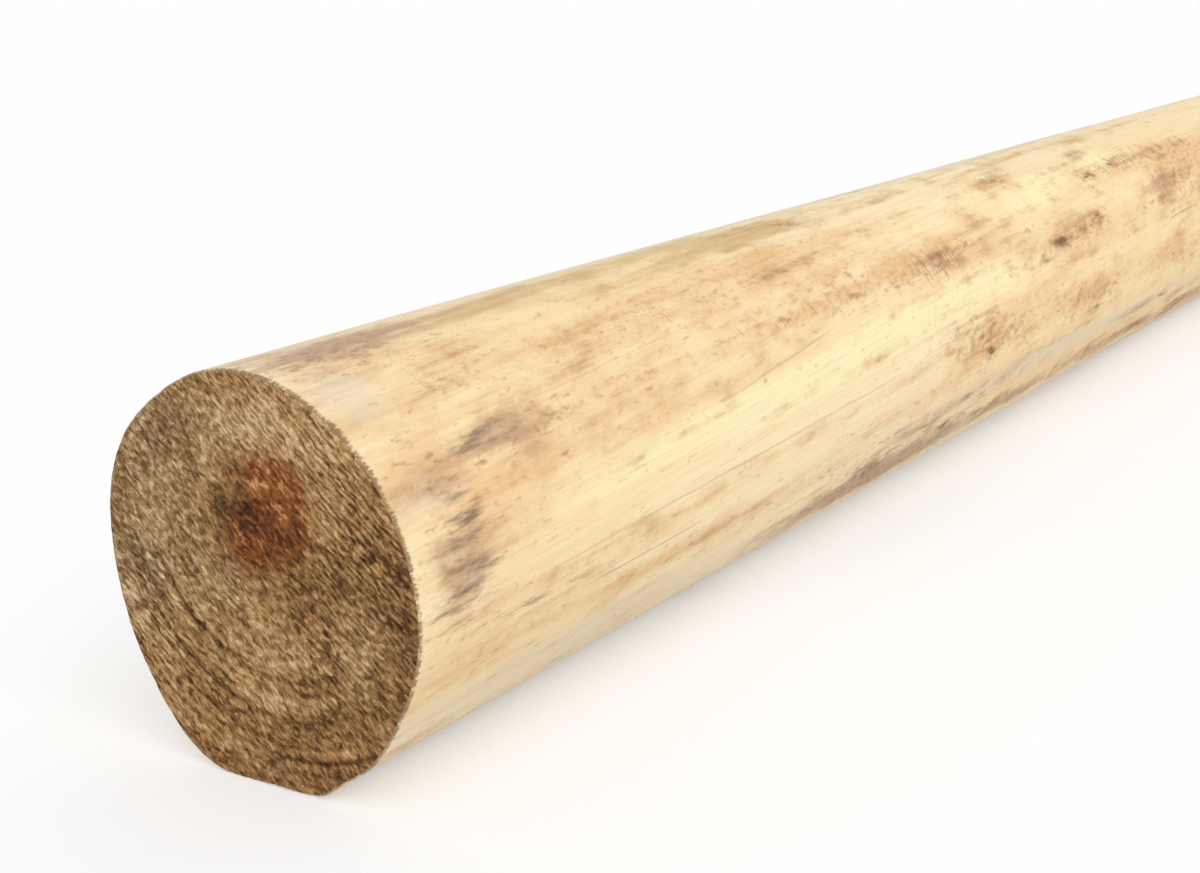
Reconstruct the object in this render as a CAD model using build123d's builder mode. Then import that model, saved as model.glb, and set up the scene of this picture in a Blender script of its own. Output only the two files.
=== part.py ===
"""A round timber post: a peeled softwood log, tapering gently from its butt to its top,
sawn square at both ends. It lies along X on the flattened side of its own section.

Looking along +X at the sawn butt, +Y is to the left and +Z is up. Angles round the post start
at +Y and turn towards +Z, so 90 degrees is the top and -90 degrees is the ground.
"""

import math
import os

from build123d import *

# Driving dimensions, in millimetres.
LENGTH = 1800.0  # between the two saw cuts
BUTT_RADIUS = 60.0  # nominal radius of the thick end
TOP_RADIUS = 51.0  # nominal radius of the thin end
UNDERSIDE_BELOW = 0.7  # how far under the nominal circle the butt's underside is flattened
ARRIS = 2.5  # rounding of the two long edges beside the flat underside
SAWN_EDGE = 0.6  # bevel that the saw and handling leave round each end

# The log is not a true circle. Each entry is an angle round the post, how far the surface stands
# out there (or in, if negative) on the butt, and the angle over which that fades away.
HEEL = (-64.5, 4.9, 18.0)  # swelling on the far side of the flat
TOE = (-109.0, 3.0, 15.0)  # swelling on the near side of the flat
CHEEK = (-6.5, -2.9, 28.0)  # long flat on the far side
SHOULDER = (59.5, -1.0, 16.0)  # slight flat above it
FLANK = (-147.5, -1.1, 14.0)  # slight flat on the near side
OUT_OF_ROUND = (HEEL, TOE, CHEEK, SHOULDER, FLANK)

OUTLINE_STEP = 12.0  # degrees between the points of a section's outline


def tapered(size, x):
    """What a size on the butt has shrunk to at x, since all of the section tapers alike."""
    from_butt = x / LENGTH + 0.5
    return size * (1.0 + (TOP_RADIUS / BUTT_RADIUS - 1.0) * from_butt)


def bulge(angle):
    """How far the butt stands out of its nominal circle at an angle round the post."""
    total = 0.0
    for centre, height, fade in OUT_OF_ROUND:
        apart = (angle - centre + 180.0) % 360.0 - 180.0
        total += height * math.exp(-((apart / fade) ** 2))
    return total


def outline(x, drawn_in):
    """Points of the section's outline at x, across (Y) and up (Z) from the middle of the section."""
    points = []
    for i in range(round(360.0 / OUTLINE_STEP)):
        angle = i * OUTLINE_STEP
        far = tapered(BUTT_RADIUS + bulge(angle), x) - drawn_in
        points.append((far * math.cos(math.radians(angle)), far * math.sin(math.radians(angle))))
    return points


# Where the sections stand along X, and how far each is drawn in: the sawn ends are bevelled.
BUTT_END = -LENGTH / 2
TOP_END = LENGTH / 2
SECTIONS = (
    (BUTT_END, SAWN_EDGE),
    (BUTT_END + SAWN_EDGE, 0.0),
    (TOP_END - SAWN_EDGE, 0.0),
    (TOP_END, SAWN_EDGE),
)

# The butt's outline is wider on one side, so the middle of its width is set on the XZ plane.
widths = [across for across, _ in outline(BUTT_END, 0.0)]
SIDE_SHIFT = -(max(widths) + min(widths)) / 2

with BuildPart() as post:
    # The log, through sections that would stand on the ground but for their two swellings, which
    # reach below it.
    for x, drawn_in in SECTIONS:
        middle = (x, SIDE_SHIFT, tapered(BUTT_RADIUS + UNDERSIDE_BELOW, x))
        with BuildSketch(Plane(origin=middle, x_dir=(0, 1, 0), z_dir=(1, 0, 0))):
            with BuildLine():
                Spline(*outline(x, drawn_in), periodic=True)
            make_face()
    loft(ruled=True)
    # The underside is flattened where the post lies on the ground, and its two long edges are
    # worn round.
    split(bisect_by=Plane.XY, keep=Keep.TOP)
    underside = post.faces().sort_by(Axis.Z)[0]
    fillet(underside.edges().filter_by(lambda edge: edge.length > LENGTH / 2), radius=ARRIS)

post.part.label = "post"
os.makedirs("parts", exist_ok=True)
export_step(post.part, "parts/post.step")

size = post.part.bounding_box()
print("size", size.size, "lowest", size.min, "highest", size.max)
print("volume in litres", round(post.part.volume / 1e6, 3), "solids", len(post.part.solids()))
print("flat underside, width at its widest", round(underside.bounding_box().size.Y, 1))
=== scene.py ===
"""The looks of a round timber post: a peeled softwood log with rough-sawn ends, lying on a pale
studio floor and seen past its butt, from low down in front.

Lengths are in metres and angles in degrees. Angles round the post start at +Y and turn towards
+Z, so 90 is the top, 180 the near side and 270 the ground. Distances along the post start at the
sawn face of its butt.
"""

import itertools
import math

import bpy
import numpy as np
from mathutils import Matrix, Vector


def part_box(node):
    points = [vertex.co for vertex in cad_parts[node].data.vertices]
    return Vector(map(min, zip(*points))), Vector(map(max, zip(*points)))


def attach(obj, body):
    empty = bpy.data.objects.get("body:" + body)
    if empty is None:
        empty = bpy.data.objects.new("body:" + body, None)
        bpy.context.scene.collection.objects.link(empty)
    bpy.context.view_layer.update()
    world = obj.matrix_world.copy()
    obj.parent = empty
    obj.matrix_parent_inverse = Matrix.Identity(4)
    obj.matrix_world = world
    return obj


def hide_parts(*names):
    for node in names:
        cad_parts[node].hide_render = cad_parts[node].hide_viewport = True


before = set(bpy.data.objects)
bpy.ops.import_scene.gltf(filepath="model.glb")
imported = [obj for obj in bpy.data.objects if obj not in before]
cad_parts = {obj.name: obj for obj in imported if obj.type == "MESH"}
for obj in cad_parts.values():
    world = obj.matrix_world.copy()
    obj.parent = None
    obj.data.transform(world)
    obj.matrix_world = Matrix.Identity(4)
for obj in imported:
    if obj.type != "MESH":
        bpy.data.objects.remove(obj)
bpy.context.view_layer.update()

MM = 0.001

# The post's section, the same as in the model
LOWEST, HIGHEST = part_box("post")
LENGTH = HIGHEST.x - LOWEST.x
BUTT_RADIUS = 60 * MM
TOP_RADIUS = 51 * MM
UNDERSIDE_BELOW = 0.7 * MM  # how far under the nominal circle the butt's underside is flattened
OUT_OF_ROUND = (  # angle, how far the butt stands out or in there, and the angle it fades over
    (-64.5, 4.9 * MM, 18.0),
    (-109.0, 3.0 * MM, 15.0),
    (-6.5, -2.9 * MM, 28.0),
    (59.5, -1.0 * MM, 16.0),
    (-147.5, -1.1 * MM, 14.0),
)
WORN_EDGE = 0.8 * MM  # how softly the flat underside meets the sides
SAWN_EDGE = 0.6 * MM  # bevel that the saw and handling leave round each end
OUTLINE_STEP = 12.0  # degrees between the points of the model's outline

# The mesh
RIM_COUNT = 800  # points round the butt's rim
SIDE_COUNT = 200  # points round the rest of the post
RIM_ROWS = ((0.0, 1.0), (0.6, 0.8), (1.2, 0.5), (2.0, 0.2), (3.0, 0.0))  # mm in, share of the relief
RIM_BAND = 0.03  # the outermost share of the butt's face, where the rim's own relief takes over
DETAILED = 700 * MM  # the stretch at the butt with the finer mesh
FIRST_STEP = 2.9 * MM
DETAILED_STEP = 5.0 * MM
PLAIN_STEP = 15.7 * MM

# The camera, where it stood when the photograph was taken
CAMERA_AT = (-1.2319, -0.3601, 0.2271)
CAMERA_TURN = (74.855, 3.029, -54.839)
CAMERA_LENS = 55.5
SENSOR = 36.0
PHOTO_TURN = 3.5  # an angle round the post in the photograph, plus this, is the model's angle
SPIRAL = 0.8  # how far the grain turns round the post in each metre of its length, in radians


def wrapped(angle):
    """The same angle, from -180 to 180 degrees."""
    return (angle + 180.0) % 360.0 - 180.0


def bulge(angle):
    """How far the butt stands out of its nominal circle at an angle round the post."""
    total = np.zeros_like(angle, dtype=float)
    for centre, height, fade in OUT_OF_ROUND:
        total += height * np.exp(-((wrapped(angle - centre) / fade) ** 2))
    return total


def across(angle):
    """How far from the middle of the butt its outline lies at an angle, along Y."""
    return (BUTT_RADIUS + bulge(angle)) * np.cos(np.radians(angle))


outline_angles = np.arange(0.0, 360.0, OUTLINE_STEP)
SIDE_SHIFT = -(across(outline_angles).max() + across(outline_angles).min()) / 2


def shrunk(along):
    """The section's size at a distance from the butt, as a share of the butt's."""
    return 1.0 + (TOP_RADIUS / BUTT_RADIUS - 1.0) * along / LENGTH


def place(along, angle, out=1.0, proud=0.0):
    """Points of the post. out runs from 0 in the middle of the section to 1 at its outline."""
    radius = (BUTT_RADIUS + bulge(angle)) * shrunk(along) + proud
    middle = (BUTT_RADIUS + UNDERSIDE_BELOW) * shrunk(along)
    height = middle + radius * np.sin(np.radians(angle))
    below = np.maximum(WORN_EDGE - np.abs(height), 0.0)
    height = np.maximum(height, 0.0) + below**2 / (4 * WORN_EDGE)
    y = SIDE_SHIFT + out * radius * np.cos(np.radians(angle))
    z = middle + out * (height - middle)
    return np.stack([LOWEST.x + along + 0.0 * z, y, z], axis=-1)


def noise(points, seed):
    """Smooth noise from -1 to 1, with one random value at each whole number."""
    size = 32  # whole numbers after which the values come round again
    lattice = np.random.default_rng(seed).uniform(-1.0, 1.0, (size, size, size))
    cell = np.floor(points).astype(int)
    part = points - cell
    part = part * part * (3.0 - 2.0 * part)
    total = np.zeros(points.shape[:-1])
    for corner in itertools.product((0, 1), repeat=3):
        weight = np.prod(np.where(np.array(corner) == 1, part, 1.0 - part), axis=-1)
        i, j, k = np.moveaxis((cell + corner) % size, -1, 0)
        total += weight * lattice[i, j, k]
    return total


def grained(points, long_size, cross_size, seed):
    """Noise in long streaks with the grain: long_size along the post and cross_size across it."""
    return noise(points / np.array([long_size, cross_size, cross_size]), seed)


# Stains on the peeled side, as in the photograph, with painted shade along its top and lower edges and
# a painted highlight along the middle of its near side: kind, distance from the butt in mm, angle, half
# length in mm, half width in degrees, strength. A strength below zero keeps that kind off.
SIDE_STAINS_AND_PAINTED_LIGHT = (
    ("tan", 170, 120, 160, 15, 1.0),
    ("tan", 240, 109, 90, 7, 0.6),
    ("tan", 90, 141, 100, 7, 0.9),
    ("tan", 270, 136, 100, 9, 1.1),
    ("tan", 350, 139, 60, 8, 0.7),
    ("tan", 12, 136, 18, 6, 0.6),
    ("tan", 14, 145, 16, 3, 0.9),
    ("tan", 30, 194, 40, 6, 0.8),
    ("tan", 120, 152, 110, 4, 0.7),
    ("tan", 30, 100, 30, 8, 1.5),
    ("tan", 34, 159, 28, 11, 1.3),
    ("tan", 438, 109, 26, 8, 1.6),
    ("tan", 200, 186, 200, 6, 0.4),
    ("tan", 100, 197, 110, 4, 1.0),
    ("tan", 235, 200, 70, 4, 0.7),
    ("tan", 34, 181, 26, 5, 0.7),
    ("tan", 500, 118, 40, 5, -0.6),
    ("tan", 560, 130, 80, 8, 0.5),
    ("tan", 480, 150, 60, 8, 1.4),
    ("tan", 420, 166, 60, 8, 0.6),
    ("tan", 616, 143, 44, 13, 1.2),
    ("tan", 640, 121, 70, 7, 0.8),
    ("tan", 660, 132, 50, 11, 0.9),
    ("tan", 484, 177, 46, 9, 1.4),
    ("tan", 590, 177, 38, 9, 1.3),
    ("tan", 370, 177, 60, 8, 1.2),
    ("tan", 330, 192, 90, 6, 0.6),
    ("tan", 690, 160, 60, 22, 0.8),
    ("tan", 20, 128, 22, 10, 0.5),
    # Mauve: the long bands at about 217 to 228 degrees along the lower edge are mauve stain and painted
    # shade, where the side comes down to the floor; the others are mauve stains
    ("mauve_and_low_edge_shade", 275, 217, 85, 11, 1.8),
    ("mauve_and_low_edge_shade", 450, 218, 160, 7, 1.2),
    ("mauve_and_low_edge_shade", 630, 219, 110, 7, 0.9),
    ("mauve_and_low_edge_shade", 28, 94, 34, 15, 1.6),
    ("mauve_and_low_edge_shade", 28, 220, 26, 5, 0.6),
    ("mauve_and_low_edge_shade", 60, 228, 120, 6, 0.5),
    ("mauve_and_low_edge_shade", 380, 79, 90, 5, 0.6),
    ("mauve_and_low_edge_shade", 340, 139, 34, 6, 1.0),
    ("mauve_and_low_edge_shade", 345, 199, 55, 5, 0.5),
    ("mauve_and_low_edge_shade", 250, 199, 60, 5, 0.5),
    ("mauve_and_low_edge_shade", 540, 200, 90, 5, 0.4),
    ("mauve_and_low_edge_shade", 50, 140, 38, 7, 1.3),
    ("mauve_and_low_edge_shade", 16, 147, 16, 2.4, 0.9),
    ("mauve_and_low_edge_shade", 21, 167, 15, 14, 1.3),
    ("mauve_and_low_edge_shade", 612, 142, 42, 11, 1.1),
    ("mauve_and_low_edge_shade", 484, 178, 42, 8, 0.6),
    ("mauve_and_low_edge_shade", 470, 150, 46, 5, 0.5),
    ("mauve_and_low_edge_shade", 60, 92, 40, 7, 0.6),
    # Lemon: the band at 150 to 166 degrees from 110 to 370 mm, along the middle of the near side, is
    # pale streaks and a painted highlight; the others are pale lemon streaks
    ("lemon_and_highlight", 110, 166, 70, 3.5, 0.8),
    ("lemon_and_highlight", 190, 161, 100, 5.5, 1.2),
    ("lemon_and_highlight", 290, 157, 90, 7.5, 1.3),
    ("lemon_and_highlight", 370, 150, 40, 6, 0.9),
    ("lemon_and_highlight", 460, 124, 50, 10, 1.0),
    ("lemon_and_highlight", 400, 113, 90, 6, 0.8),
    ("lemon_and_highlight", 545, 138, 20, 8, 0.8),
    ("lemon_and_highlight", 560, 193, 180, 4, 0.5),
    ("lemon_and_highlight", 620, 106, 60, 5, 0.5),
    ("lemon_and_highlight", 17, 125, 9, 4, 0.9),
    ("lemon_and_highlight", 147, 133, 7, 1.6, 1.0),
    ("lemon_and_highlight", 556, 114, 34, 7, 1.0),
    ("olive", 222, 92, 100, 12, 1.6),
    ("olive", 90, 96, 60, 8, 0.8),
    ("olive", 262, 95, 46, 9, 0.8),
    ("olive", 60, 99, 50, 6, 0.6),
    ("olive", 540, 93, 90, 10, 0.7),
    ("olive", 458, 104, 24, 5, 1.3),
    ("olive", 482, 94, 22, 5, 1.0),
    ("olive", 545, 108, 20, 5, 1.0),
    ("olive", 570, 96, 22, 5, 0.9),
    # Cool grey: the long bands along the top edge (about 74 degrees) and along the lower side and edge
    # (about 198 to 230) are painted shade, where the side turns away from the light; the small ones are
    # cool grey stains
    ("cool_tint_and_edge_shade", 350, 74, 600, 10, 1.9),
    ("cool_tint_and_edge_shade", 80, 213, 130, 8, 1.0),
    ("cool_tint_and_edge_shade", 300, 230, 420, 12, 1.4),
    ("cool_tint_and_edge_shade", 470, 198, 220, 6, 1.2),
    ("cool_tint_and_edge_shade", 16, 149, 13, 6, 0.8),
    ("cool_tint_and_edge_shade", 30, 86, 40, 12, 0.6),
    ("cool_tint_and_edge_shade", 14, 113, 14, 13, 1.2),
    ("grey", 37, 140, 13, 2.4, 1.6),
    ("grey", 50, 138, 12, 1.8, 1.0),
    ("grey", 23, 152, 9, 2.0, 1.2),
    ("grey", 26, 158, 12, 3.0, 1.6),
    ("grey", 20, 164, 11, 2.4, 1.1),
    ("grey", 26, 170, 13, 2.6, 1.5),
    ("grey", 20, 174.5, 12, 2.0, 1.1),
    ("grey", 16, 179, 12, 2.4, 1.4),
    ("grey", 12, 183.5, 9, 1.8, 1.0),
    ("grey", 46, 187.5, 15, 1.1, 1.7),
    ("grey", 76, 187.8, 18, 0.9, 1.0),
    ("grey", 52, 94, 10, 6, 0.8),
    ("grey", 268, 211, 16, 4, 1.1),
    ("grey", 283, 197, 7, 1.8, 1.3),
    ("grey", 300, 197.5, 8, 1.6, 1.2),
    ("grey", 316, 203.5, 7, 1.8, 1.1),
    ("grey", 348, 198.5, 10, 2.6, 1.5),
    ("grey", 363, 196, 7, 1.6, 1.1),
    ("grey", 368, 202.5, 8, 2.2, 1.3),
    ("grey", 406, 200, 7, 1.8, 1.2),
    ("grey", 588, 200, 10, 2.6, 1.4),
    ("grey", 431, 209.5, 8, 1.8, 1.0),
    ("grey", 328, 208.5, 8, 1.8, 1.0),
    ("grey", 630, 214, 30, 4, 1.0),
    ("brown", 78, 140, 22, 3.4, 1.1),
    ("brown", 44, 121, 24, 5, 0.8),
    ("brown", 112, 140, 14, 3, 0.7),
    ("brown", 20, 168, 15, 14, 0.8),
    ("brown", 210, 139, 18, 4, 1.0),
    ("brown", 240, 141, 14, 3, 0.6),
    ("brown", 264, 139.5, 15, 4, 1.1),
    ("brown", 336, 139, 26, 7, 0.9),
    ("brown", 366, 136, 34, 3, 1.0),
    ("brown", 300, 141, 30, 3, 0.8),
    ("brown", 232, 120, 60, 5, 0.75),
    ("brown", 130, 121, 60, 8, 0.55),
    ("brown", 306, 114, 12, 2, 0.8),
    ("brown", 426, 139.5, 9, 2.4, 1.2),
    ("brown", 431, 154.5, 8, 2.4, 1.3),
    ("brown", 452, 150, 9, 3.0, 2.2),
    ("brown", 480, 149, 28, 4.5, 1.1),
    ("brown", 507, 145, 10, 3.4, 1.7),
    ("brown", 521, 132, 7, 4, 1.4),
    ("brown", 526, 124, 8, 3, 1.5),
    ("brown", 400, 153, 36, 5, 0.6),
    ("brown", 352, 169, 50, 7, 1.0),
    ("brown", 365, 178, 42, 5, 1.1),
    ("brown", 363, 181.5, 7, 2.0, 1.5),
    ("brown", 490, 180, 36, 5, 0.8),
    ("brown", 452, 184, 10, 2.4, 1.0),
    ("brown", 490, 186, 34, 1.6, 1.0),
    ("brown", 616, 142, 36, 10, 0.8),
    ("brown", 588, 149, 9, 2.8, 1.4),
    ("brown", 594, 178, 26, 6, 0.7),
    ("brown", 620, 160, 30, 3, 0.6),
    ("brown", 300, 210, 64, 6, 0.8),
    ("brown", 268, 211, 18, 6, 1.1),
    ("brown", 342, 209, 18, 4, 1.0),
    ("brown", 440, 216, 110, 5, 0.8),
    ("brown", 385, 213, 22, 3, 0.9),
    ("brown", 500, 214, 30, 3, 0.8),
    ("brown", 575, 216, 26, 3, 1.0),
    ("brown", 655, 215, 30, 4, 0.8),
    ("brown", 620, 216, 60, 5, 0.7),
    ("brown", 440, 109, 22, 5, 0.8),
    ("brown", 450, 107, 18, 5, 0.7),
    ("brown", 545, 106, 18, 4, 0.6),
    ("brown", 600, 120, 80, 6, 0.85),
    ("brown", 560, 123, 40, 4, 0.8),
    ("brown", 640, 128, 34, 6, 0.8),
    ("brown", 278, 97, 16, 6, 1.0),
    ("brown", 252, 89, 16, 5, 0.9),
    ("brown", 190, 96, 60, 6, 0.6),
    ("brown", 125, 104, 34, 4, 0.5),
    ("brown", 50, 92, 20, 8, 0.6),
    ("brown", 690, 145, 30, 12, 0.7),
    ("ticks", 62, 141, 30, 4, 0.6),
    ("ticks", 46, 121, 26, 7, 0.5),
    ("ticks", 170, 121, 80, 8, 0.6),
    ("ticks", 338, 139, 30, 8, 1.5),
    ("ticks", 590, 122, 90, 7, 1.3),
    ("ticks", 480, 178, 50, 8, 0.8),
    ("ticks", 240, 139, 60, 4, 0.8),
    ("ticks", 490, 146, 34, 6, 1.2),
    ("ticks", 616, 143, 40, 11, 0.9),
)
# The same kinds strewn by chance where the photograph doesn't show the side: kind, how many, half
# length in mm from and to, half width in degrees from and to, strength from and to
STREWN = (
    ("tan", 34, (50, 220), (4, 14), (0.5, 1.1)),
    ("mauve_and_low_edge_shade", 14, (30, 120), (4, 9), (0.5, 1.0)),
    ("lemon_and_highlight", 24, (50, 160), (4, 9), (0.6, 1.3)),
    ("olive", 8, (40, 130), (5, 9), (0.5, 1.1)),
    ("cool_tint_and_edge_shade", 8, (100, 300), (6, 12), (0.5, 1.0)),
    ("grey", 30, (6, 26), (1.2, 4.5), (0.5, 1.2)),
    ("brown", 110, (6, 45), (1.8, 7), (0.4, 1.3)),
    ("ticks", 18, (20, 90), (3, 9), (0.4, 1.0)),
)
SIDE_FIELDS = tuple(kind for kind, *_ in STREWN)
# What the photograph shows of the side: the first and last angle, and the length in mm
SEEN_FROM, SEEN_TO = 75.0, 225.0
SEEN_LENGTH = 640.0


def strewn_stains():
    """The list of chance stains, on the part of the side that the photograph doesn't show."""
    chance = np.random.default_rng(41)
    stains = []
    for kind, count, lengths, widths, strengths in STREWN:
        while count > 0:
            along = chance.uniform(0.0, LENGTH / MM)
            angle = chance.uniform(0.0, 360.0)
            length, width = chance.uniform(*lengths), chance.uniform(*widths)
            strength = chance.uniform(*strengths)
            seen_around = SEEN_FROM - width < angle < SEEN_TO + width
            seen_along = along < SEEN_LENGTH + length
            if not (seen_around and seen_along):
                stains.append((kind, along, angle, length, width, strength))
                count -= 1
    return stains


def stain_and_painted_light_field(kind, along, angle, stains):
    """How strongly a kind of mark shows at points of the side: a stain, painted shade or a painted
    highlight. It is 0 where there is none.
    """
    field = np.zeros_like(along)
    for name, centre, middle, length, width, strength in stains:
        if name == kind:
            from_centre = (along / MM - centre) / length
            from_middle = wrapped(angle - middle - PHOTO_TURN) / width
            field += strength * np.exp(-(from_centre**2) - from_middle**2)
    return field


# Where the growth of each end starts, in mm left and up from the middle of its face
BUTT_PITH = (-6.4, 21.3)
TOP_PITH = (5.0, -4.0)
RING_WIDTH = 4.0 * MM
SAW_LINES = 1.9 * MM  # from one line of the saw to the next
DASH_TURN = 40.0  # the way that the torn fibres on a sawn face run, up from +Y
# Patches on the butt's face, as in the photograph: kind, place left and up from its middle, half
# width and half height in mm, strength
PATCHES = (
    ("pith", -9, 32, 13, 9, 1.1),
    ("pith", -1, 11, 13, 9, 1.1),
    ("pith", -17, 20, 6, 12, 0.9),
    ("pith", -5, 20, 13, 12, 0.6),
    ("dim", 2, 21, 9, 4, 1.3),
    ("dim", -11, 15, 6, 4, 0.8),
    ("dim", 5, 31, 5, 4, 0.6),
    ("dim", 11, 20, 4, 9, 0.5),
    ("dim", 13, 8, 5, 5, 0.3),
    ("dim", -56, -5, 7, 18, 0.9),
    ("dim", -49, 22, 8, 14, 0.6),
    ("dim", -38, -30, 14, 12, 0.6),
    ("dim", -28, -6, 12, 8, 0.5),
    ("dim", -50, -20, 8, 8, 0.4),
    ("dim", -36, 14, 10, 10, 0.5),
    ("dim", 54, -4, 6, 13, 0.3),
    ("dim", 36, -42, 14, 5, 0.2),
    ("dim", -24, -52, 12, 5, 0.5),
    ("dim", 20, -56, 8, 4, 0.6),
    ("dim", 24, 40, 5, 7, 0.4),
    ("light", -4, 47, 26, 9, 0.9),
    ("light", 14, 36, 9, 5, 0.5),
    ("light", 38, 24, 18, 20, 0.25),
    ("light", 36, -26, 16, 14, 0.5),
    ("light", -4, -16, 16, 9, 0.5),
    ("light", 0, -28, 8, 3, 0.5),
    ("light", -2, -38, 12, 5, 0.4),
    ("light", 8, -53, 18, 3, 0.4),
    ("light", 50, -13, 3, 3, 0.9),
    ("light", 47, -22, 3, 3, 0.7),
    ("light", -13, 22, 2, 1.5, 1.4),
    ("light", -2, 29, 3, 2, 1.0),
    ("light", -8, 33, 2, 1.5, 0.8),
    ("ashen", 36, 28, 20, 22, 0.9),
    ("ashen", 48, -4, 14, 22, 0.9),
    ("ashen", 16, -2, 16, 12, 0.5),
    ("ashen", 14, 44, 16, 8, 0.5),
    ("ashen", -42, -12, 14, 18, 0.4),
    ("ringed", 36, -26, 26, 26, 1.0),
    ("ringed", 0, -44, 40, 16, 0.7),
    ("ringed", 44, 26, 14, 18, 0.4),
    ("combed", -40, 26, 26, 34, 1.0),
    ("combed", -10, 50, 22, 10, 0.6),
    ("combed", 42, -26, 18, 24, 0.8),
    ("combed", -34, -22, 16, 18, 0.4),
)
# Growth rings that stand out on the butt's face: kind, distance from the pith and half thickness in
# mm, middle bearing and half angle of the arc, strength
ARCS = (
    ("dim", 47.5, 1.1, 310, 22, 1.4),
    ("dim", 48.5, 1.8, 262, 22, 0.4),
    ("dim", 59.5, 1.2, 305, 34, 0.7),
    ("dim", 60.0, 1.8, 262, 22, 0.4),
    ("dim", 71.0, 0.8, 250, 13, 1.3),
    ("dim", 53.5, 0.9, 312, 24, 0.6),
    ("dim", 65.5, 1.0, 300, 26, 0.5),
    ("dim", 36.0, 1.3, 318, 26, 0.4),
    ("light", 44.0, 2.0, 268, 24, 0.7),
    ("light", 54.5, 2.3, 268, 26, 0.9),
    ("light", 68.3, 1.1, 252, 13, 0.9),
    ("light", 50.5, 1.2, 312, 22, 0.5),
)
FACE_FIELDS = ("pith", "dim", "light", "ashen", "ringed", "combed")
# The same kinds on the top's face, all but the pith, each varying by chance about a level
TOP_FIELDS = (("dim", 0.3), ("light", 0.4), ("ashen", 0.6), ("ringed", 0.7), ("combed", 0.5))


def turned(left, up, turn):
    """A place on an end's face, turned about the face's middle."""
    cosine, sine = math.cos(math.radians(turn)), math.sin(math.radians(turn))
    return left * cosine - up * sine, left * sine + up * cosine


def face_fields(left, up, on_top):
    """The tones of the sawn faces at points left and up from their middles, in mm. The top keeps
    only the butt's pith, at a place of its own."""
    left, up = turned(left, up, -PHOTO_TURN)
    left = left + on_top * (BUTT_PITH[0] - TOP_PITH[0])
    up = up + on_top * (BUTT_PITH[1] - TOP_PITH[1])
    fields = {kind: np.zeros_like(left) for kind in FACE_FIELDS}
    for kind, middle, height, wide, high, strength in PATCHES:
        away = ((left - middle) / wide) ** 2 + ((up - height) / high) ** 2
        fields[kind] += strength * np.exp(-away)
    from_pith = left - BUTT_PITH[0], up - BUTT_PITH[1]
    wander = 1.2 * noise(np.stack([left / 14, up / 14, 0 * up], axis=-1), 51)
    ring = np.hypot(*from_pith) + wander
    bearing = np.degrees(np.arctan2(from_pith[1], from_pith[0]))
    for kind, distance, thick, middle, spread, strength in ARCS:
        apart = wrapped(bearing - middle)
        fields[kind] += strength * np.exp(-(((ring - distance) / thick) ** 2) - (apart / spread) ** 2)
    for seed, (kind, level) in enumerate(TOP_FIELDS, 61):
        by_chance = level * (1.0 + noise(np.stack([left / 22, up / 22, 0 * up], axis=-1), seed))
        fields[kind] = np.where(on_top, by_chance, fields[kind])
    return fields


def sawn_depth(points):
    """How deep the saw and the torn fibres go into an end at its points, in metres."""
    turn = math.radians(DASH_TURN)
    y, z = points[..., 1], points[..., 2]
    with_dash = y * math.cos(turn) + z * math.sin(turn)
    over_dash = z * math.cos(turn) - y * math.sin(turn)
    flat = np.stack([with_dash, over_dash, 0.0 * y], axis=-1)
    torn = noise(flat / np.array([2.6 * MM, 1.2 * MM, MM]), 11)
    clumps = noise(flat / (4.5 * MM), 12)
    sweep = noise(flat / np.array([60 * MM, 3.2 * MM, MM]), 13)
    broad = noise(flat / (28 * MM), 14)
    return (0.36 * torn + 0.16 * clumps + 0.12 * sweep + 0.25 * broad) * MM


# Small knots that stand a little proud, each with a dimple: distance from the butt in mm, angle,
# radius and height in mm
KNOTS = (
    (336, 139, 12, 0.7),
    (452, 150, 8, 0.8),
    (507, 146, 7, 0.5),
    (587, 149, 8, 0.6),
    (268, 209, 10, 0.7),
    (363, 181, 6, 0.4),
    (190, 262, 11, 0.8),
    (420, 20, 12, 0.9),
    (455, 318, 9, 0.7),
    (760, 60, 12, 0.9),
    (905, 170, 11, 0.9),
    (990, 250, 9, 0.7),
    (1130, 110, 11, 0.9),
    (1290, 200, 10, 0.8),
    (1345, 5, 12, 0.9),
    (1520, 130, 9, 0.8),
    (1640, 290, 10, 0.7),
)
KNOT_STRETCH = 1.5  # a knot's length along the post as a multiple of its width
DIMPLE_DEPTH, DIMPLE_RADIUS = 0.8, 0.35  # as shares of the knot's height and radius
# Slight forms that run the whole length: angle, how far they stand out or in, in mm, and the angle
# that they fade over
LONG_FORMS = (
    (243.5, -1.9, 8.5),
    (80.0, 0.5, 24.0),
)


def side_relief(along, angle):
    """How far the peeled side stands proud of its even section, in metres."""
    points = place(along, angle)
    waves = 0.45 * grained(points, 160 * MM, 34 * MM, 21)
    flutes = 0.28 * grained(points, 240 * MM, 9 * MM, 22)
    strips = 0.10 * grained(points, 60 * MM, 4 * MM, 23)
    proud = (waves + flutes + strips) * MM
    for middle, height, fade in LONG_FORMS:
        proud += height * MM * np.exp(-((wrapped(angle - middle) / fade) ** 2))
    for centre, middle, radius, height in KNOTS:
        around = wrapped(angle - middle - PHOTO_TURN) * math.radians(1.0)
        away = np.hypot(along / MM - centre, around * BUTT_RADIUS / MM * KNOT_STRETCH) / radius
        dimple = DIMPLE_DEPTH * np.exp(-((away / DIMPLE_RADIUS) ** 2))
        proud += height * MM * (np.exp(-(away**2)) - dimple)
    return proud


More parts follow.
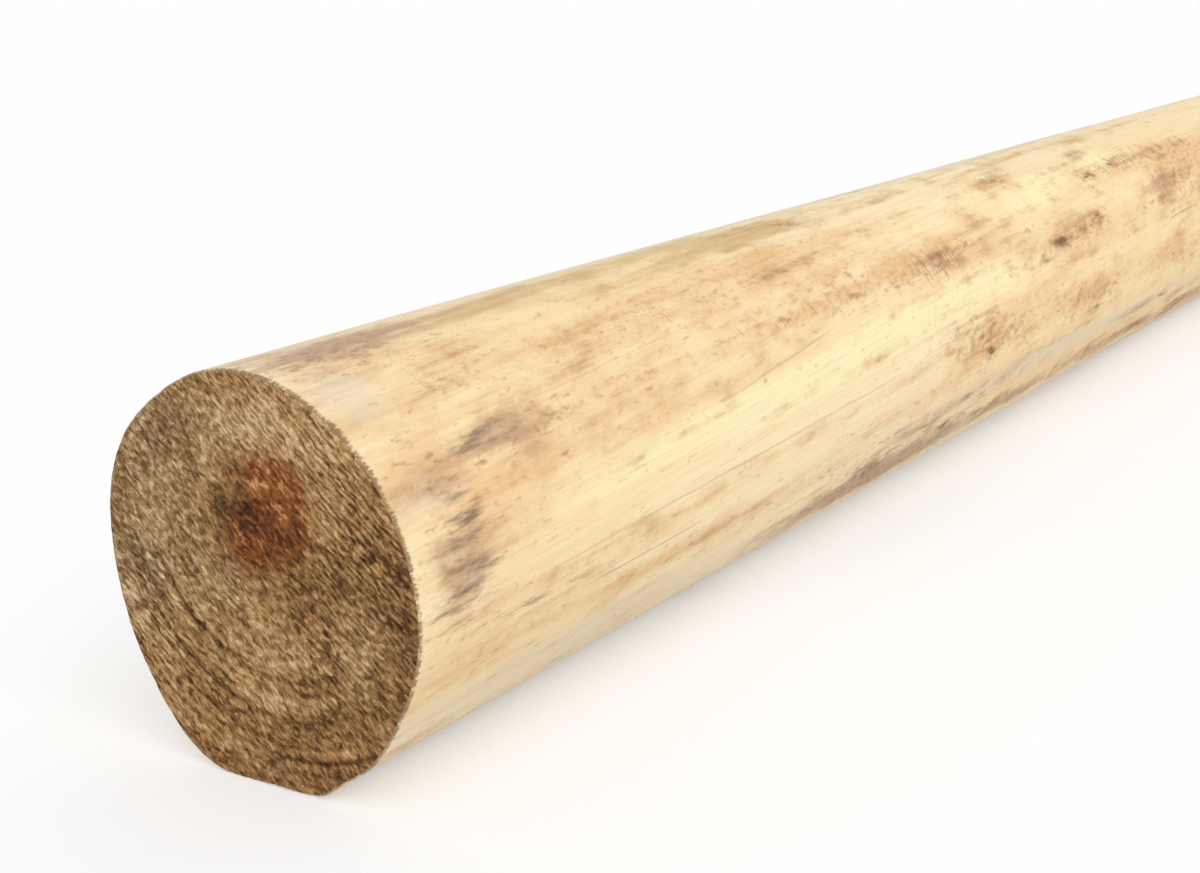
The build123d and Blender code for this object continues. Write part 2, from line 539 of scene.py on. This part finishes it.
def stations():
    """Distances from the butt at which the side has a row of points, after the rim's rows."""
    rows, step = [RIM_ROWS[-1][0] * MM + FIRST_STEP], FIRST_STEP
    while rows[-1] < DETAILED:
        step = FIRST_STEP + (DETAILED_STEP - FIRST_STEP) * rows[-1] / DETAILED
        rows.append(rows[-1] + step)
    left = LENGTH - SAWN_EDGE - rows[-1]
    count = math.ceil(left / PLAIN_STEP)
    rows += [rows[-1] + left * (i + 1) / count for i in range(count)]
    return rows + [LENGTH]


class Mesh:
    """The post's points, with where each lies on the post, and its faces."""

    def __init__(self):
        self.along, self.angle, self.out = [], [], []
        self.points = []
        self.faces, self.parts = [], []

    def add_points(self, along, angle, out, points):
        """Adds points and returns their numbers."""
        numbers = np.arange(len(self.points), len(self.points) + len(points))
        self.along.extend(np.broadcast_to(along, len(points)))
        self.angle.extend(np.broadcast_to(angle, len(points)))
        self.out.extend(np.broadcast_to(out, len(points)))
        self.points.extend(points.tolist())
        return numbers

    def add_faces(self, faces, part):
        """Adds faces of one part."""
        self.faces += [tuple(int(i) for i in face) for face in faces]
        self.parts += [part] * len(faces)


# The post's parts: its ends, the detailed stretch of its side at the butt, and the rest of its side
BUTT, NEAR_SIDE, FAR_SIDE, TOP = range(4)


def add_side(mesh):
    """The peeled side: fine rows at the butt's rim, then coarser rows to the top."""
    rings = []
    angle = np.arange(RIM_COUNT) * 360.0 / RIM_COUNT
    for step_in, share in RIM_ROWS:
        along = np.full(RIM_COUNT, step_in * MM)
        proud = side_relief(along, angle) - SAWN_EDGE * (step_in == 0.0)
        points = place(along, angle, 1.0, proud)
        points[:, 0] += share * rim_depth(angle)
        rings.append(mesh.add_points(along, angle, 1.0, points))
    angle = np.arange(SIDE_COUNT) * 360.0 / SIDE_COUNT
    for along in stations():
        row = np.full(SIDE_COUNT, along)
        proud = side_relief(row, angle) - SAWN_EDGE * (along == LENGTH)
        points = place(row, angle, 1.0, proud)
        if along == LENGTH:
            points[:, 0] -= sawn_depth(points)
        rings.append(mesh.add_points(row, angle, 1.0, points))
    for first, second in zip(rings, rings[1:]):
        detailed = mesh.points[second[0]][0] < LOWEST.x + DETAILED + DETAILED_STEP
        part = NEAR_SIDE if detailed else FAR_SIDE
        if len(first) == len(second):
            faces = np.stack([first, np.roll(first, -1), np.roll(second, -1), second], axis=-1)
        else:
            faces = stitch(first, second)
        mesh.add_faces(faces, part)
    return rings[0], rings[-1]


def stitch(fine, coarse):
    """Triangles between two rings whose counts differ by a whole ratio."""
    ratio = len(fine) // len(coarse)
    faces = []
    for i in range(len(coarse)):
        here, following = coarse[i], coarse[(i + 1) % len(coarse)]
        for k in range(ratio):
            first, second = fine[ratio * i + k], fine[(ratio * i + k + 1) % len(fine)]
            faces.append((first, second, here if k < ratio // 2 else following))
            if k == ratio // 2 - 1:
                faces.append((second, following, here))
    return faces


def rim_depth(angle):
    """How deep the butt's rim is cut at angles round it, where saw marks and fibres cross it."""
    rim = place(np.zeros_like(angle), angle)
    torn_out = 0.65 - 0.35 * np.cos(np.radians(angle))  # the saw came out on the near side
    small = np.maximum(noise(rim / (0.9 * MM), 31) - 0.4, 0.0)
    large = np.maximum(noise(rim / (2.3 * MM), 32) - 0.3, 0.0)
    tufts = (0.5 * small + 0.5 * large) * MM
    return (sawn_depth(rim) * 0.7 - tufts) * torn_out + 0.2 * MM


def add_end(mesh, rim, part):
    """A sawn end: a square grid of points pulled out to the rim's outline."""
    count = len(rim) // 4
    steps = np.linspace(-1.0, 1.0, count + 1)
    left, up = np.meshgrid(steps, steps, indexing="ij")
    out = np.maximum(np.abs(left), np.abs(up))
    from_side = 45.0 * (up / np.where(left == 0, 1, left)) + 180.0 * (left < 0)
    from_top = 90.0 - 45.0 * (left / np.where(up == 0, 1, up)) + 180.0 * (up < 0)
    angle = np.where(np.abs(left) >= np.abs(up), from_side, from_top) % 360.0
    numbers = np.zeros(out.shape, dtype=int)
    edge = out > 1.0 - 1e-9
    numbers[edge] = rim[np.round(angle[edge] * len(rim) / 360.0).astype(int) % len(rim)]
    inner = ~edge
    along = np.full(inner.sum(), 0.0 if part == BUTT else LENGTH)
    proud = side_relief(along, angle[inner]) - SAWN_EDGE
    points = place(along, angle[inner], out[inner], proud)
    depth = sawn_depth(points)
    if part == BUTT:
        near_rim = np.clip((out[inner] - (1.0 - RIM_BAND)) / RIM_BAND, 0.0, 1.0)
        depth = depth * (1.0 - near_rim) + near_rim * rim_depth(angle[inner])
        points[:, 0] += depth
    else:
        points[:, 0] -= depth
    numbers[inner] = mesh.add_points(along, angle[inner], out[inner], points)
    corners = [numbers[:-1, :-1], numbers[1:, :-1], numbers[1:, 1:], numbers[:-1, 1:]]
    faces = np.stack([corner.ravel() for corner in corners], axis=-1)
    mesh.add_faces(faces if part == TOP else faces[:, ::-1], part)


# The flat map that the finish is baked to, in shares of its sides. Each end is a disc on it, and
# the side is two bands of one length.
DISCS = {BUTT: (0.185, 0.815, 0.175), TOP: (0.48, 0.89, 0.095)}  # its middle and its radius
BAND_START, BAND_LENGTH = 0.005, 0.985
BANDS = {NEAR_SIDE: (0.005, 0.435), FAR_SIDE: (0.455, 0.16)}  # its lower edge and its height


def bake_map(mesh, along, angle, out):
    """Where each corner of each face lies on the flat map that the finish is baked to."""
    layout = []
    for face, part in zip(mesh.faces, mesh.parts):
        face = list(face)
        if part in DISCS:
            across_map, up_map, radius = DISCS[part]
            bearing = np.radians(angle[face])
            layout.append(across_map + radius * out[face] * np.cos(bearing))
            layout.append(up_map + radius * out[face] * np.sin(bearing))
            continue
        turn = (angle[face] - 270.0) % 360.0 / 360.0
        if np.ptp(turn) > 0.5:
            turn = np.where(turn < 0.5, turn + 1.0, turn)
        if part == NEAR_SIDE:
            distance, whole = along[face], DETAILED + 2 * DETAILED_STEP
        else:
            distance, whole = along[face] - DETAILED, LENGTH - DETAILED
        lower, height = BANDS[part]
        layout.append(BAND_START + BAND_LENGTH * distance / whole)
        layout.append(lower + height * turn)
    u, v = np.concatenate(layout[0::2]), np.concatenate(layout[1::2])
    return np.stack([u, v], axis=-1)


def make_post():
    """The whole post as one mesh, with its stains, tones, painted shade and painted highlight kept at
    its points.
    """
    mesh = Mesh()
    butt_rim, top_rim = add_side(mesh)
    add_end(mesh, butt_rim, BUTT)
    add_end(mesh, top_rim, TOP)
    along, angle, out = np.array(mesh.along), np.array(mesh.angle), np.array(mesh.out)
    points = np.array(mesh.points)

    data = bpy.data.meshes.new("timber_post")
    data.from_pydata(points.tolist(), [], mesh.faces)
    data.polygons.foreach_set("use_smooth", np.ones(len(mesh.faces), dtype=bool))
    slots = {NEAR_SIDE: 0, FAR_SIDE: 0, BUTT: 1, TOP: 2}  # in the order that the materials are added
    data.polygons.foreach_set("material_index", [slots[part] for part in mesh.parts])
    layer = data.uv_layers.new(name="OFBake")
    layer.data.foreach_set("uv", bake_map(mesh, along, angle, out).ravel())

    stains = list(SIDE_STAINS_AND_PAINTED_LIGHT) + strewn_stains()
    fields = {kind: stain_and_painted_light_field(kind, along, angle, stains) for kind in SIDE_FIELDS}
    middle_height = (BUTT_RADIUS + UNDERSIDE_BELOW) * shrunk(along)
    left, up = (points[:, 1] - SIDE_SHIFT) / MM, (points[:, 2] - middle_height) / MM
    fields.update(face_fields(left, up, along > LENGTH / 2))
    # How deep the saw cut each end, in mm: the ends' materials darken their deeper hollows with it, as
    # painted shade
    fields["depth"] = sawn_depth(points) / MM
    for name, values in fields.items():
        attribute = data.attributes.new(name, "FLOAT", "POINT")
        attribute.data.foreach_set("value", values.astype(np.float32))
    data.update()
    post = bpy.data.objects.new("timber_post", data)
    bpy.context.scene.collection.objects.link(post)
    return post


def rgb(red, green, blue):
    """A colour as it looks on a screen, from 0 to 255, as the linear values that a shader takes."""
    linear = []
    for value in (red, green, blue):
        value /= 255.0
        linear.append(value / 12.92 if value <= 0.04045 else ((value + 0.055) / 1.055) ** 2.4)
    return (*linear, 1.0)


class Nodes:
    """The nodes of a material or of the surround."""

    def __init__(self, tree):
        self.tree = tree

    def node(self, kind, inputs=(), **settings):
        """Adds a node. Each input is a value, or the output of another node to link."""
        node = self.tree.nodes.new(kind)
        for name, value in settings.items():
            setattr(node, name, value)
        for key, value in dict(inputs).items():
            self.give(node.inputs[key], value)
        return node

    def give(self, socket, value):
        """Sets a socket to a value, or links it to another node's output."""
        if isinstance(value, bpy.types.NodeSocket):
            self.tree.links.new(value, socket)
        else:
            socket.default_value = value

    def math(self, operation, *values, clamp=False):
        """One sum on one, two or three values."""
        node = self.node("ShaderNodeMath", dict(enumerate(values)), operation=operation)
        node.use_clamp = clamp
        return node.outputs[0]

    def seen(self):
        """1 where the camera sees it, also in gloss or through glass, and 0 where it only lights."""
        rays = self.node("ShaderNodeLightPath")
        seen = self.math("ADD", rays.outputs["Is Camera Ray"], rays.outputs["Is Glossy Ray"])
        return self.math("ADD", seen, rays.outputs["Is Transmission Ray"], clamp=True)


class Shader(Nodes):
    """A material, with a short call for each kind of pattern that the timber needs."""

    def __init__(self, name):
        self.material = bpy.data.materials.new(name)
        self.material.use_nodes = True
        super().__init__(self.material.node_tree)
        self.surface = self.tree.nodes["Principled BSDF"]
        self.place = self.node("ShaderNodeTexCoord").outputs["Object"]

    def field(self, name):
        """A value that is kept at the mesh's points."""
        return self.node("ShaderNodeAttribute", attribute_name=name).outputs["Fac"]

    def spread(self, value, start, end, low=0.0, high=1.0):
        """A value's stretch from start to end, eased and spread over low to high."""
        inputs = {"Value": value, "From Min": start, "From Max": end, "To Min": low, "To Max": high}
        node = self.node("ShaderNodeMapRange", inputs, interpolation_type="SMOOTHSTEP")
        return node.outputs["Result"]

    def scaled(self, vector, scale, turn=0.0):
        """A place turned about the post's length, then scaled on each axis."""
        if turn:
            inputs = {"Vector": vector, "Angle": math.radians(-turn)}
            vector = self.node("ShaderNodeVectorRotate", inputs, rotation_type="X_AXIS").outputs[0]
        node = self.node("ShaderNodeVectorMath", {0: vector, 1: scale}, operation="MULTIPLY")
        return node.outputs[0]

    def noise(self, vector, scale, detail=2.0, rough=0.5, turn=0.0):
        """Smooth noise from 0 to 1. scale is how many times it changes in a metre, on each axis."""
        inputs = {"Vector": self.scaled(vector, scale, turn), "Scale": 1.0, "Detail": detail}
        inputs["Roughness"] = rough
        return self.node("ShaderNodeTexNoise", inputs).outputs["Fac"]

    def total(self, start, *parts):
        """A start value plus each part's weight times its value."""
        for weight, value in parts:
            start = self.math("MULTIPLY_ADD", value, weight, start)
        return start

    def ramp(self, value, stops):
        """The colour at a value, between stops of a position and a colour."""
        node = self.node("ShaderNodeValToRGB", {"Fac": value})
        elements = node.color_ramp.elements
        while len(elements) < len(stops):
            elements.new(1.0)
        for element, (position, colour) in zip(elements, stops):
            element.position = position
            element.color = colour
        return node.outputs["Color"]

    def cells(self, vector, scale, turn=0.0):
        """Scattered cells, each with a value of its own from 0 to 1. scale is as for noise."""
        inputs = {"Vector": self.scaled(vector, scale, turn), "Scale": 1.0}
        colour = self.node("ShaderNodeTexVoronoi", inputs).outputs["Color"]
        return self.node("ShaderNodeSeparateColor", {"Color": colour}).outputs["Red"]

    def mix(self, share, first, second):
        """Two colours mixed, with a share of the second from 0 to 1."""
        node = self.node("ShaderNodeMix", {0: share}, data_type="RGBA")
        # Inputs 6 and 7 and output 2 are the node's sockets for colours
        self.give(node.inputs[6], first)
        self.give(node.inputs[7], second)
        return node.outputs[2]

    def finish(self, colour, rough, height, depth):
        """Joins the colour, the roughness and the bump to the surface."""
        bump = self.node("ShaderNodeBump", {"Height": height, "Distance": depth})
        self.give(self.surface.inputs["Base Color"], colour)
        self.give(self.surface.inputs["Roughness"], rough)
        self.give(self.surface.inputs["Normal"], bump.outputs["Normal"])
        return self.material


# Thin drying checks on the side: distance from the butt in mm and angle at one end, the same at the
# other, and strength
CHECKS = (
    (20, 137, 200, 127, 0.2),
    (161, 156, 246, 147, 0.4),
    (300, 147, 411, 132, 0.3),
    (21, 182, 321, 172, 0.3),
    (586, 160, 628, 158, 0.6),
    (70, 192, 150, 190, 0.4),
    (330, 330, 520, 322, 0.6),
    (760, 150, 960, 158, 0.7),
    (820, 40, 1010, 34, 0.7),
    (1100, 180, 1400, 172, 0.7),
    (1230, 300, 1480, 310, 0.7),
    (1500, 80, 1760, 90, 0.8),
)
# Radians from a check's middle line to where it starts to fade and to where it ends
CHECK_CORE, CHECK_EDGE = 0.0025, 0.009
CHECK_WANDER = 0.02  # radians from side to side


def check_lines(shader):
    """How strongly a thin check shows at the surface, from 0 to 1."""
    axes = shader.node("ShaderNodeSeparateXYZ", {"Vector": shader.place})
    along = shader.math("SUBTRACT", axes.outputs["X"], LOWEST.x)
    fall = (TOP_RADIUS / BUTT_RADIUS - 1.0) * (BUTT_RADIUS + UNDERSIDE_BELOW) / LENGTH
    middle = shader.math("MULTIPLY_ADD", along, fall, BUTT_RADIUS + UNDERSIDE_BELOW)
    up = shader.math("SUBTRACT", axes.outputs["Z"], middle)
    towards = shader.math("SUBTRACT", SIDE_SHIFT, axes.outputs["Y"])
    turn = shader.math("ARCTAN2", towards, up)
    wobble = shader.noise(shader.place, (60, 60, 60), 3.0)
    turn = shader.math("ADD", turn, shader.math("MULTIPLY", wobble, CHECK_WANDER))
    total = None
    for start, start_angle, end, end_angle, strength in CHECKS:
        from_top = wrapped(start_angle + PHOTO_TURN - 90.0)
        first = math.radians(from_top) + CHECK_WANDER / 2
        slope = math.radians(end_angle - start_angle) / ((end - start) * MM)
        line = shader.math("MULTIPLY_ADD", along, slope, first - slope * start * MM)
        apart = shader.math("ABSOLUTE", shader.math("SUBTRACT", turn, line))
        thin = shader.spread(apart, CHECK_CORE, CHECK_EDGE, 1.0, 0.0)
        half, centre = (end - start) / 2 * MM, (end + start) / 2 * MM
        off = shader.math("ABSOLUTE", shader.math("SUBTRACT", along, centre))
        length = shader.spread(off, half * 0.5, half, strength, 0.0)
        one = shader.math("MULTIPLY", thin, length)
        total = one if total is None else shader.math("MAXIMUM", total, one)
    return total


def twisted(shader):
    """The place on the post, with the spiral of its grain straightened."""
    axes = shader.node("ShaderNodeSeparateXYZ", {"Vector": shader.place})
    turn = shader.math("MULTIPLY", axes.outputs["X"], SPIRAL)
    inputs = {"Vector": shader.place, "Center": (0.0, SIDE_SHIFT, TOP_RADIUS), "Angle": turn}
    return shader.node("ShaderNodeVectorRotate", inputs, rotation_type="X_AXIS").outputs[0]


def side_material():
    """Peeled softwood: cream and tan streaks with the grain, brown flecks, ticks and grey stains, with
    painted shade along the top and lower edges and a painted highlight along the middle of the near
    side.
    """
    shader = Shader("peeled_timber")
    grown = twisted(shader)
    broad = shader.noise(grown, (4, 30, 30), 4.0)
    streak = shader.noise(grown, (7, 110, 110), 5.0, 0.6)
    thread = shader.noise(grown, (14, 420, 420), 4.0, 0.6)
    grain = shader.noise(grown, (30, 1500, 1500), 2.0, 0.6)
    mottle = shader.noise(grown, (46, 90, 90), 5.0, 0.6)
    specks = shader.noise(grown, (190, 420, 420), 3.0, 0.6)
    fleck = shader.noise(grown, (150, 300, 300), 4.0, 0.62)
    dash = shader.noise(grown, (65, 380, 380), 4.0, 0.65)
    tick = shader.noise(shader.place, (520, 130, 130), 3.0, 0.55)
    soft = shader.total(-0.60, (1.20, streak), (1.00, mottle))
    wisps = shader.total(-0.60, (1.10, thread), (1.10, mottle))
    dashes = shader.total(-0.30, (1.60, dash))
    even = shader.total(0.25, (0.50, streak))

    colour = shader.mix(shader.spread(broad, 0.35, 0.65), rgb(254, 234, 190), rgb(250, 222, 170))
    threads = shader.spread(thread, 0.42, 0.80, 0.0, 0.45)
    colour = shader.mix(threads, colour, rgb(238, 200, 150))
    # The colours mixed in one by one: stains, with painted shade and a painted highlight among them
    stains = (
        # kind, how far the field lifts the noise, the noise, where it starts and is full, most, colour
        # pale lemon streaks, and a painted highlight along the middle of the near side
        ("lemon_and_highlight", 0.34, streak, 0.58, 0.86, 0.95, rgb(255, 240, 191)),
        ("tan", 0.34, soft, 0.46, 1.10, 0.90, rgb(234, 187, 132)),
        ("olive", 0.34, soft, 0.54, 1.10, 0.85, rgb(210, 176, 116)),
        # cool grey: stains, and painted shade along the top and lower edges
        ("cool_tint_and_edge_shade", 0.34, even, 0.54, 1.00, 0.80, rgb(234, 219, 193)),
        # mauve stains, and painted shade along the lower edge
        ("mauve_and_low_edge_shade", 0.34, soft, 0.60, 1.15, 0.85, rgb(188, 152, 122)),
        ("brown", 0.26, wisps, 0.66, 1.15, 0.80, rgb(186, 130, 86)),
        ("tan", 0.12, specks, 0.62, 0.90, 0.60, rgb(200, 144, 94)),
        ("mauve_and_low_edge_shade", 0.12, specks, 0.62, 0.90, 0.60, rgb(150, 112, 84)),
        ("brown", 0.20, fleck, 0.62, 0.95, 0.72, rgb(156, 106, 68)),
        ("grey", 0.32, dashes, 0.66, 1.20, 0.90, rgb(118, 94, 78)),
        ("ticks", 0.20, tick, 0.68, 0.95, 0.60, rgb(160, 112, 78)),
        ("brown", 0.30, fleck, 0.94, 1.16, 0.85, rgb(104, 64, 38)),
    )
    for kind, lift, pattern, start, full, most, tone in stains:
        level = shader.total(pattern, (lift, shader.field(kind)))
        colour = shader.mix(shader.spread(level, start, full, 0.0, most), colour, tone)
    checks = check_lines(shader)
    colour = shader.mix(shader.math("MULTIPLY", checks, 0.7), colour, rgb(150, 104, 68))
    colour = shader.mix(shader.spread(grain, 0.35, 0.75, 0.0, 0.2), colour, rgb(205, 170, 122))

    # The brown, ragged edge beside the butt's face
    axes = shader.node("ShaderNodeSeparateXYZ", {"Vector": shader.place})
    teeth = shader.noise(shader.place, (90, 1300, 1300), 3.0, 0.6)
    tufts = shader.noise(shader.place, (60, 140, 140), 3.0, 0.6)
    reach = shader.total(LOWEST.x - 3.3 * MM, (3.6 * MM, teeth), (3.4 * MM, tufts))
    past = shader.math("SUBTRACT", axes.outputs["X"], reach)
    rim = shader.spread(past, 0.0, 1.4 * MM, 0.85, 0.0)
    colour = shader.mix(rim, colour, rgb(126, 90, 54))

    rough = shader.spread(streak, 0.3, 0.7, 0.5, 0.68)
    height = shader.total(0.0, (0.5, grain), (0.8, thread), (0.5, mottle), (-1.0, checks))
    return shader.finish(colour, rough, height, 0.35 * MM)


# Tones of the sawn ends, from the deepest shade to the lightest fibre
BUTT_TONES = (
    (0.0, rgb(58, 36, 19)),
    (0.28, rgb(106, 74, 42)),
    (0.5, rgb(152, 113, 70)),
    (0.72, rgb(190, 152, 103)),
    (1.0, rgb(234, 206, 162)),
)
ASHEN_TONES = (
    (0.0, rgb(60, 42, 26)),
    (0.28, rgb(106, 80, 51)),
    (0.5, rgb(148, 118, 82)),
    (0.72, rgb(184, 155, 115)),
    (1.0, rgb(226, 204, 166)),
)
HEART_TONES = (
    (0.0, rgb(44, 24, 12)),
    (0.3, rgb(84, 44, 19)),
    (0.52, rgb(124, 68, 30)),
    (0.75, rgb(162, 98, 50)),
    (1.0, rgb(218, 164, 112)),
)
TOP_TONES = (
    (0.0, rgb(92, 70, 46)),
    (0.28, rgb(138, 110, 76)),
    (0.5, rgb(176, 146, 104)),
    (0.72, rgb(208, 180, 136)),
    (1.0, rgb(232, 210, 170)),
)


def end_material(name, pith, middle_height, tones, ashen_tones):
    """Rough-sawn end grain: torn dashes one way over faint growth rings, round a darker pith, with
    painted shade in the deeper hollows of the cut.
    """
    shader = Shader(name)
    flat = shader.scaled(shader.place, (0, 1, 1))
    left, up = turned(pith[0] * MM, pith[1] * MM, PHOTO_TURN)
    to_pith = (0.0, -left - SIDE_SHIFT, -up - middle_height)
    from_pith = shader.node("ShaderNodeVectorMath", {0: flat, 1: to_pith}, operation="ADD")
    distance = shader.node("ShaderNodeVectorMath", {0: from_pith.outputs[0]}, operation="LENGTH")
    warp = shader.noise(flat, (1, 45, 45), 2.0)
    ring = shader.total(0.0, (2.0 * math.pi / RING_WIDTH, distance.outputs["Value"]), (5.0, warp))
    wave = shader.spread(shader.math("SINE", ring), 0.0, 1.0)
    rings = shader.math("MULTIPLY", wave, shader.total(0.25, (0.75, shader.field("ringed"))))

    torn = shader.noise(flat, (1, 400, 900), 4.0, 0.65, DASH_TURN)
    cells = shader.cells(flat, (1, 480, 1000), DASH_TURN)
    bend = shader.noise(flat, (1, 60, 160), 2.0, 0.5, DASH_TURN)
    with_dash = shader.scaled(flat, (1, 1, 1), DASH_TURN)
    over_dash = shader.node("ShaderNodeSeparateXYZ", {"Vector": with_dash}).outputs["Z"]
    line = shader.total(0.0, (2.0 * math.pi / SAW_LINES, over_dash), (14.0, bend))
    comb = shader.math("MULTIPLY", shader.math("SINE", line), shader.field("combed"))
    patch = shader.noise(flat, (1, 170, 170), 4.0, 0.6)
    blotch = shader.noise(flat, (1, 40, 40), 3.0)
    speck = shader.noise(flat, (1, 620, 1050), 1.0, 0.5, DASH_TURN)
    bright = shader.spread(speck, 0.64, 0.76)
    tone = shader.total(-0.72, (1.36, torn), (0.34, cells), (0.14, comb), (0.50, patch), (0.35, blotch))
    tone = shader.total(tone, (0.26, shader.field("light")), (-0.24, shader.field("dim")))
    # Painted shade: the face is darker where the saw cut deeper
    tone = shader.total(tone, (-0.16, rings), (-0.28, shader.field("depth")), (0.30, bright))

    ashen = shader.field("ashen")
    colour = shader.ramp(tone, tones)
    warm = shader.total(0.0, (0.5, blotch), (0.5, cells), (-0.3, ashen))
    colour = shader.mix(shader.spread(warm, 0.5, 0.8, 0.0, 0.3), colour, rgb(190, 124, 66))
    ashen = shader.math("MULTIPLY", ashen, 0.7, clamp=True)
    colour = shader.mix(ashen, colour, shader.ramp(tone, ashen_tones))
    heart = shader.total(0.0, (0.80, patch), (0.35, torn), (0.55, shader.field("pith")))
    heart = shader.spread(heart, 0.72, 1.2, 0.0, 0.9)
    colour = shader.mix(heart, colour, shader.ramp(tone, HEART_TONES))

    height = shader.total(0.0, (1.2, torn), (0.5, cells), (0.25, comb), (-0.2, rings))
    shader.surface.inputs["Specular IOR Level"].default_value = 0.15
    return shader.finish(colour, 0.85, height, 0.6 * MM)


def make_floor():
    """A wide pale floor, white to the camera wherever the post casts no shadow."""
    reach = 60.0
    under = -0.3 * MM
    grey = (0.86, 0.86, 0.86, 1.0)
    grey_seen = (0.62, 0.62, 0.62, 1.0)
    glow_seen = 0.4
    data = bpy.data.meshes.new("floor")
    corners = [(x * reach, y * reach, under) for x, y in ((-1, -1), (1, -1), (1, 1), (-1, 1))]
    data.from_pydata(corners, [], [(0, 1, 2, 3)])
    floor = bpy.data.objects.new("floor", data)
    bpy.context.scene.collection.objects.link(floor)
    shader = Shader("floor")
    seen = shader.seen()
    shader.give(shader.surface.inputs["Base Color"], shader.mix(seen, grey, grey_seen))
    shader.surface.inputs["Emission Color"].default_value = (1.0, 1.0, 1.0, 1.0)
    shader.give(shader.surface.inputs["Emission Strength"], shader.math("MULTIPLY", seen, glow_seen))
    shader.surface.inputs["Roughness"].default_value = 1.0
    shader.surface.inputs["Specular IOR Level"].default_value = 0.0
    data.materials.append(shader.material)


def make_light():
    """An even white surround, and one soft lamp from above the camera's right shoulder."""
    surround = 0.68
    lamp_strength = 1.25
    lamp_turn = (46.0, 0.0, -32.0)
    lamp_softness = 45.0
    world = bpy.data.worlds.new("studio")
    bpy.context.scene.world = world
    world.use_nodes = True
    nodes = Nodes(world.node_tree)
    background = nodes.tree.nodes["Background"]
    background.inputs["Color"].default_value = (1.0, 1.0, 1.0, 1.0)
    inputs = {"Value": nodes.seen(), "To Min": surround, "To Max": 1.0}
    strength = nodes.node("ShaderNodeMapRange", inputs).outputs["Result"]
    nodes.give(background.inputs["Strength"], strength)
    data = bpy.data.lights.new("soft_lamp", "SUN")
    data.energy = lamp_strength
    data.angle = math.radians(lamp_softness)
    lamp = bpy.data.objects.new("soft_lamp", data)
    lamp.rotation_euler = [math.radians(turn) for turn in lamp_turn]
    bpy.context.scene.collection.objects.link(lamp)


def make_camera():
    """The camera where the photograph was taken from, with no shift and no blur."""
    data = bpy.data.cameras.new("camera")
    data.lens = CAMERA_LENS
    data.sensor_width = SENSOR
    data.sensor_fit = "HORIZONTAL"
    data.clip_start = 0.02
    data.clip_end = 200.0
    camera = bpy.data.objects.new("camera", data)
    camera.location = CAMERA_AT
    camera.rotation_euler = [math.radians(turn) for turn in CAMERA_TURN]
    bpy.context.scene.collection.objects.link(camera)
    bpy.context.scene.camera = camera


make_camera()
make_light()
make_floor()
post = make_post()
post.data.materials.append(side_material())
butt_middle = BUTT_RADIUS + UNDERSIDE_BELOW
top_middle = butt_middle * TOP_RADIUS / BUTT_RADIUS
post.data.materials.append(end_material("sawn_butt", BUTT_PITH, butt_middle, BUTT_TONES, ASHEN_TONES))
post.data.materials.append(end_material("sawn_top", TOP_PITH, top_middle, TOP_TONES, TOP_TONES))
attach(post, "root")
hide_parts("post")

bpy.context.scene.view_settings.view_transform = "Standard"
